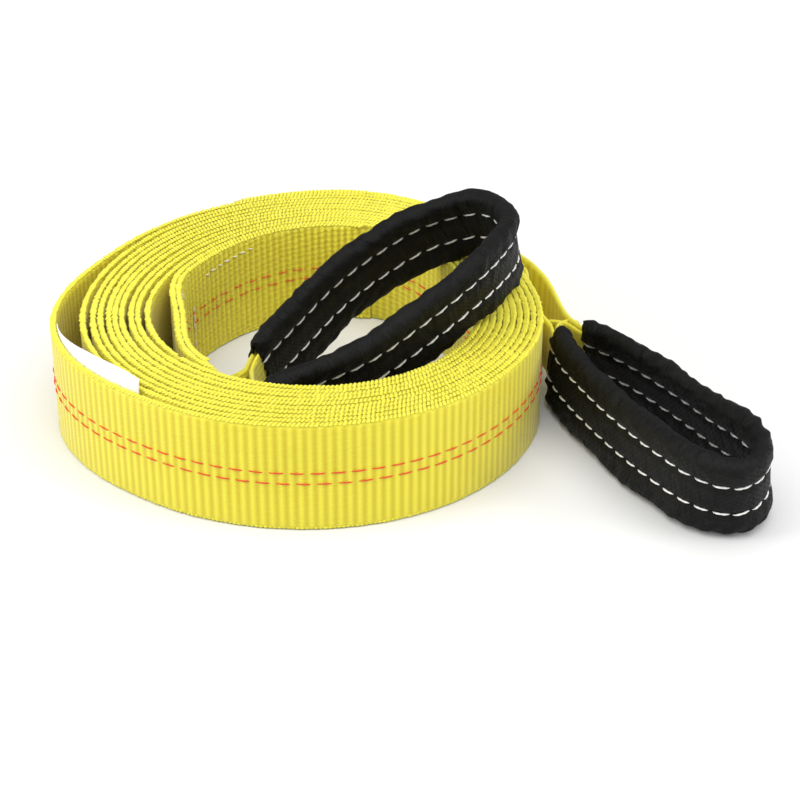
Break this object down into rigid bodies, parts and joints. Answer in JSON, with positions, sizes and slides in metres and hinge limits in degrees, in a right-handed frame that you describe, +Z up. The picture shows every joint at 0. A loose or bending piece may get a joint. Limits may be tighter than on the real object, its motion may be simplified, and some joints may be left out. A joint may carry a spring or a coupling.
{
  "type": "tow strap",
  "caption": "Flat webbing tow strap wound up on its edge, with a sewn loop eye in a fabric sleeve at each end and a plain label tag.",
  "frame": {"origin": "middle of the underside of the bounding box, on the surface that the strap lies on", "axes": "+Z up along the coil's axis, +X from the coil towards the outer eye"},
  "size_m": [0.3116, 0.2516, 0.0953],
  "materials": {
    "webbing": "bright yellow woven polyester webbing with two dashed red tracer threads",
    "sleeve": "black plain-woven nylon, sewn through with two rows of white thread",
    "tag": "plain white satin label tape"
  },
  "bodies": {
    "root": {"webbing": "webbing", "inner_eye_sleeve": "sleeve", "outer_eye_sleeve": "sleeve", "label_tag": "tag"}
  },
  "joints": []
}
